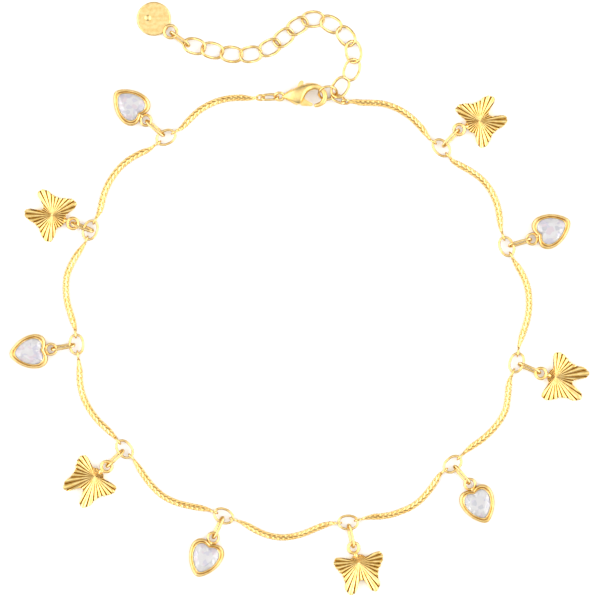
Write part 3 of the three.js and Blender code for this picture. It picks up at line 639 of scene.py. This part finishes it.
def ribbed_body(ribs, sides=28, per_rib=7):
    """A smooth body through ribs, each an oval between an outer and an inner edge."""
    line = smooth_line([(*outer, *inner, thick) for outer, inner, thick in ribs], per_rib)
    turn = np.linspace(0, 2 * math.pi, sides, endpoint=False)
    round_x = np.sign(np.cos(turn)) * np.abs(np.cos(turn)) ** 0.9
    round_z = np.sign(np.sin(turn)) * np.abs(np.sin(turn)) ** 0.9
    points = []
    for ox, oy, ix, iy, thick in line:
        middle, half = np.array([(ox + ix) / 2, (oy + iy) / 2]), np.array([(ox - ix) / 2, (oy - iy) / 2])
        flat = middle[None, :] + round_x[:, None] * half[None, :]
        points.append(np.column_stack([flat, round_z * thick]))
    count = len(line)
    faces = [list(range(sides))[::-1], [(count - 1) * sides + k for k in range(sides)]]
    for i in range(count - 1):
        for k in range(sides):
            m = (k + 1) % sides
            faces.append([i * sides + k, i * sides + m, (i + 1) * sides + m, (i + 1) * sides + k])
    return np.concatenate(points), [face[::-1] for face in faces]


def flat_block(outline, half):
    """An outline in mm with straight sides, half as thick each way."""
    outline = np.asarray(outline, float)
    n = len(outline)
    low = np.column_stack([outline, np.full(n, -half)])
    high = np.column_stack([outline, np.full(n, half)])
    area = np.sum(outline[:, 0] * np.roll(outline[:, 1], -1) - np.roll(outline[:, 0], -1) * outline[:, 1])
    faces = [list(range(n))[::-1], list(range(n, 2 * n))]
    faces += [[i, (i + 1) % n, n + (i + 1) % n, n + i] for i in range(n)]
    return np.concatenate([low, high]), faces if area > 0 else [face[::-1] for face in faces]


def cut_away(piece, tool):
    """Takes the tool's shape out of the piece and deletes the tool."""
    saw = piece.modifiers.new("cut", "BOOLEAN")
    saw.operation, saw.object, saw.solver = "DIFFERENCE", tool, "EXACT"
    bpy.context.view_layer.update()
    cut = bpy.data.meshes.new_from_object(piece.evaluated_get(bpy.context.evaluated_depsgraph_get()))
    piece.modifiers.clear()
    piece.data = cut
    bpy.data.objects.remove(tool)


def round_edges(piece, width_mm, steps=3, over=40):
    """Softens the sharp edges of a piece."""
    made = bmesh.new()
    made.from_mesh(piece.data)
    bmesh.ops.remove_doubles(made, verts=made.verts, dist=1e-7)
    sharp = [e for e in made.edges if len(e.link_faces) == 2 and e.calc_face_angle() > math.radians(over)]
    bmesh.ops.bevel(made, geom=sharp, offset=width_mm * MM, segments=steps, affect="EDGES", clamp_overlap=True)
    made.to_mesh(piece.data)
    made.free()


def pin_rod(radius, half, sides=24):
    """A straight rod along Z."""
    turn = np.linspace(0, 2 * math.pi, sides, endpoint=False)
    return flat_block(np.column_stack([radius * np.cos(turn), radius * np.sin(turn)]), half)


clasp_gold = plated_gold("gold_clasp", (0.76, 0.50, 0.15), (0.92, 0.67, 0.28), 0.26, 0.34, 1.8, 0.2, 0.08)
clasp_shell = make_mesh("clasp_shell", put(ribbed_body(CLASP_RIBS), at=CLASP_AT))
cut_away(clasp_shell, make_mesh("slot_tool", put(flat_block(LEVER_SLOT, SLOT_HALF), at=CLASP_AT)))
tail_loop = wire_ring(2.0, 2.0, 0.24, 2.0, 48, 14)
tail = put(tail_loop, 40, 0, (CLASP_AT[0] - 3.4, CLASP_AT[1] - 0.15, CLASP_AT[2]))
clasp_fittings = make_mesh("clasp_fittings", tail, put(pin_rod(PIN_RADIUS, 1.0), at=CLASP_AT))
finish_piece(clasp_shell, clasp_gold, ["clasp_body"], crease=35)
finish_piece(clasp_fittings, clasp_gold, ["clasp_body"], crease=35)

# ---- clasp lever ----------------------------------------------------------------------
# The clasp's spring lever, cut from brass plate, rounded, polished and gold plated.
# It turns on the pin inside the belly: a thumb nub above, a pointed arm across the hook below.
LEVER_OUTLINE = [
    (0.05, 2.4), (-0.4, 1.6), (-0.4, 0.5), (-0.6, 0), (-0.3, -0.6), (0.2, -1.6), (1.2, -1.72),
    (2.0, -1.72), (2.2, -1.4), (1.6, -1.05), (0.82, -0.52), (0.6, 0), (0.3, 0.5), (0.6, 1.9),
    (0.58, 2.4), (0.35, 2.52),
]
LEVER_HALF = 0.4
PIN_PLAY = 0.08

lever_line = smooth_line(LEVER_OUTLINE, 5, closed=True)
lever = make_mesh("spring_lever", put(flat_block(lever_line, LEVER_HALF), at=CLASP_AT))
round_edges(lever, 0.16, steps=4, over=60)
cut_away(lever, make_mesh("bore_tool", put(pin_rod(PIN_RADIUS + PIN_PLAY, 1.0), at=CLASP_AT)))
finish_piece(lever, clasp_gold, ["clasp_lever"], body="lever", crease=35)

# ---- loose rings by the clasp ---------------------------------------------------------
# Three loose rings of round gold-plated wire: an oval link from the clasp's tail to the chain,
# the round ring that the hook closes on, and the oval link from it to the other chain end.
END_RING_RADIUS, END_RING_WIRE = 1.5, 0.21
END_RING_AT, END_RING_TURN, END_RING_TILT = (4.46, 34.63, 1.31), 8, 46.5

clasp_oval = wire_ring(CLASP_LINK["length"], CLASP_LINK["width"], CLASP_LINK["wire"], CLASP_LINK["square"])
end_oval = wire_ring(END_OVAL["length"], END_OVAL["width"], END_OVAL["wire"], END_OVAL["square"])
round_size = 2 * (END_RING_RADIUS + END_RING_WIRE)
round_ring = wire_ring(round_size, round_size, END_RING_WIRE, 2.0, 64, 12)
for name, node, shape, tilt, turn, at in (
    ("clasp_oval_link", "clasp_link", clasp_oval, CLASP_LINK_TILT, CLASP_LINK_TURN, CLASP_LINK_AT),
    ("hook_ring", "end_ring", round_ring, END_RING_TILT, END_RING_TURN, END_RING_AT),
    ("end_oval_link", "end_oval", end_oval, END_OVAL_TILT, END_OVAL_TURN, END_OVAL_AT),
):
    finish_piece(make_mesh(name, put(shape, tilt, turn, at)), wire_gold, [node])

# ---- extender chain -------------------------------------------------------------------
# Thirteen oval curb links of round gold-plated wire. Each is twisted, so that it passes over
# its neighbour on one side and under it on the other, and the chain lies flat.
CURB = {"length": 4.0, "width": 2.9, "wire": 0.225, "square": 2.3}
CURB_TWIST = 0.27
CURB_MIDDLES = [
    (-17.75, 42.45), (-14.77, 41.73), (-11.58, 41.08), (-8.38, 41.08), (-5.2, 42.2), (-2.9, 43.85),
    (-0.6, 45.8), (1.98, 46.95), (5.0, 46.1), (7.5, 44.1), (8.75, 41.5), (8.45, 38.5), (6.53, 35.58),
]
CURB_Z = [0.75, 0.64, 0.56, 0.52, 0.52, 0.52, 0.52, 0.52, 0.52, 0.54, 0.64, 0.86, 1.14]

curb_gold = plated_gold("gold_curb", (0.68, 0.44, 0.14), (0.87, 0.65, 0.30), 0.1, 0.22, 1.1, 0.12, 0.12)
curb_shapes = []
curb_link = wire_ring(CURB["length"], CURB["width"], CURB["wire"], CURB["square"], 64, 14, CURB_TWIST)
for i, (x, y) in enumerate(CURB_MIDDLES):
    before, after = CURB_MIDDLES[max(i - 1, 0)], CURB_MIDDLES[min(i + 1, len(CURB_MIDDLES) - 1)]
    heading = math.degrees(math.atan2(after[1] - before[1], after[0] - before[0]))
    curb_shapes.append(put(curb_link, 0, heading, (x, y, CURB_Z[i])))
finish_piece(make_mesh("curb_extender", *curb_shapes), curb_gold, ["extender_chain"])

# ---- tag ------------------------------------------------------------------------------
# A round brass tag, gold plated with a soft satin face, slightly domed, flat behind.
# It has one small plain punched dimple, and a wire loop soldered to its edge.
TAG_AT = np.array([-24.53, 47.0, 0.0])
TAG_RADIUS, TAG_THICK = 2.83, 0.65
TAG_EDGE = [(0.965, 0.0), (0.99, 0.03), (1.0, 0.09), (1.0, 0.38), (0.99, 0.46), (0.965, 0.525), (0.93, 0.56)]
DIMPLE_AT = (-1.0, 0.15)
DIMPLE_RADIUS, DIMPLE_DEPTH = 0.42, 0.2
TAG_LOOP_AT = (-21.75, 44.85, 0.72)
TAG_LOOP_RADIUS, TAG_LOOP_WIRE = 1.05, 0.25


def domed_tag(rows=44, count=120):
    """The tag's edge and its face, with the dimple pressed in."""
    turn = np.linspace(0, 2 * math.pi, count, endpoint=False)
    rings = [(scale, z) for scale, z in TAG_EDGE]
    edge_scale, edge_z = TAG_EDGE[-1]
    for row in range(1, rows):
        scale = edge_scale * (1 - row / rows)
        rings.append((scale, edge_z + (TAG_THICK - edge_z) * (1 - (scale / edge_scale) ** 2)))
    points = []
    for scale, z in rings:
        x, y = TAG_RADIUS * scale * np.cos(turn), TAG_RADIUS * scale * np.sin(turn)
        away = np.hypot(x - DIMPLE_AT[0], y - DIMPLE_AT[1]) / DIMPLE_RADIUS
        pressed = DIMPLE_DEPTH * np.exp(-(away**4)) if z > edge_z else 0.0
        points.append(np.column_stack([x, y, z - pressed * np.ones(count)]))
    points.append(np.array([[0, 0, TAG_THICK], [0, 0, 0]]))
    faces = []
    for i in range(len(rings) - 1):
        for k in range(count):
            m = (k + 1) % count
            faces.append([i * count + k, i * count + m, (i + 1) * count + m, (i + 1) * count + k])
    middle = len(rings) * count
    for k in range(count):
        m = (k + 1) % count
        faces.append([middle, (len(rings) - 1) * count + k, (len(rings) - 1) * count + m])
        faces.append([middle + 1, m, k])
    return np.concatenate(points) + TAG_AT, faces


satin_gold = plated_gold("gold_satin", (0.68, 0.46, 0.16), (0.84, 0.62, 0.28), 0.26, 0.36, 0.6, 0.05, 0.35)
tag_size = 2 * (TAG_LOOP_RADIUS + TAG_LOOP_WIRE)
tag_loop = put(wire_ring(tag_size, tag_size, TAG_LOOP_WIRE, 2.0, 56, 14), at=TAG_LOOP_AT)
tag = make_mesh("round_tag", domed_tag())
finish_piece(tag, satin_gold, ["tag"], crease=50)
loop_piece = make_mesh("tag_loop", tag_loop)
finish_piece(loop_piece, wire_gold, ["tag"])

# ---- tag link -------------------------------------------------------------------------
# One long link of round gold-plated wire, standing on edge like the charm links.
# It joins the tag's loop to the first link of the extender.
tag_link = make_mesh("tag_standing_link", standing_link((-21.0, 44.2), (-19.4, 43.0)))
finish_piece(tag_link, wire_gold, ["tag_link"])

# ---- surface, light and camera ----------------------------------------------------------
# The anklet lies on a plain white surface under a soft overhead light and two side lights.
# The camera looks straight down on it from high above, with a long lens.
FLOOR_HALF = 6.0
CAMERA_HEIGHT = 1.6
VIEW_WIDTH = 0.1
SENSOR = 36.0

floor_mesh = bpy.data.meshes.new("floor")
corners = [(-FLOOR_HALF, -FLOOR_HALF, 0), (FLOOR_HALF, -FLOOR_HALF, 0), (FLOOR_HALF, FLOOR_HALF, 0),
           (-FLOOR_HALF, FLOOR_HALF, 0)]
floor_mesh.from_pydata([(x, y, -0.00002) for x, y, _ in corners], [], [[0, 1, 2, 3]])
floor = bpy.data.objects.new("floor", floor_mesh)
bpy.context.collection.objects.link(floor)
paper = bpy.data.materials.new("white_paper")
paper.use_nodes = True
paper_nodes, paper_links = paper.node_tree.nodes, paper.node_tree.links
paper_shader = paper_nodes["Principled BSDF"]
paper_shader.inputs["Roughness"].default_value = 0.9
paper_shader.inputs["Specular IOR Level"].default_value = 0.1
paper_grain = paper_nodes.new("ShaderNodeTexNoise")
paper_grain.inputs["Scale"].default_value = 60.0
paper_tone = paper_nodes.new("ShaderNodeValToRGB")
paper_tone.color_ramp.elements[0].color = (0.90, 0.90, 0.90, 1.0)
paper_tone.color_ramp.elements[1].color = (0.93, 0.93, 0.93, 1.0)
paper_links.new(paper_grain.outputs["Fac"], paper_tone.inputs["Fac"])
paper_links.new(paper_tone.outputs["Color"], paper_shader.inputs["Base Color"])
floor_mesh.materials.append(paper)

AMBIENT = 0.2
SKY_LIGHT = 0.62
TOP_LIGHT = 0.55
SIDE_LIGHT = 2.5
world = bpy.data.worlds.new("studio")
bpy.context.scene.world = world
world.use_nodes = True
sky, wires = world.node_tree.nodes, world.node_tree.links
facing = sky.new("ShaderNodeTexCoord")
parts = sky.new("ShaderNodeSeparateXYZ")
wires.new(facing.outputs["Generated"], parts.inputs["Vector"])


def band(source, low, high, amount):
    """A soft-edged light: nothing below low, the whole amount above high."""
    soft = sky.new("ShaderNodeMapRange")
    soft.interpolation_type = "SMOOTHSTEP"
    soft.inputs["From Min"].default_value = low
    soft.inputs["From Max"].default_value = high
    soft.inputs["To Max"].default_value = amount
    wires.new(source, soft.inputs["Value"])
    return soft.outputs["Result"]


def combine(operation, first, second):
    """Two light values added or multiplied."""
    step = sky.new("ShaderNodeMath")
    step.operation = operation
    for socket, value in zip(step.inputs, (first, second)):
        if isinstance(value, float):
            socket.default_value = value
        else:
            wires.new(value, socket)
    return step.outputs["Value"]


sideways = combine("MULTIPLY", parts.outputs["X"], parts.outputs["X"])
overhead = combine("ADD", band(parts.outputs["Z"], 0.8, 0.97, TOP_LIGHT), band(parts.outputs["Z"], 0.2, 0.7, SKY_LIGHT))
side_boxes = combine("MULTIPLY", band(sideways, 0.14, 0.42, SIDE_LIGHT), band(parts.outputs["Z"], 0.12, 0.3, 1.0))
brightness = combine("ADD", combine("ADD", overhead, side_boxes), AMBIENT)
sky["Background"].inputs["Color"].default_value = (1.0, 1.0, 1.0, 1.0)
wires.new(brightness, sky["Background"].inputs["Strength"])

scene = bpy.context.scene
scene.view_settings.view_transform = "Standard"
lens = bpy.data.cameras.new("camera")
lens.sensor_width = SENSOR
lens.lens = SENSOR * CAMERA_HEIGHT / VIEW_WIDTH
camera = bpy.data.objects.new("camera", lens)
camera.location = ((OUTLINE_MIDDLE[0] - 0.17) * MM, (OUTLINE_MIDDLE[1] + 0.15) * MM, CAMERA_HEIGHT)
scene.collection.objects.link(camera)
scene.camera = camera
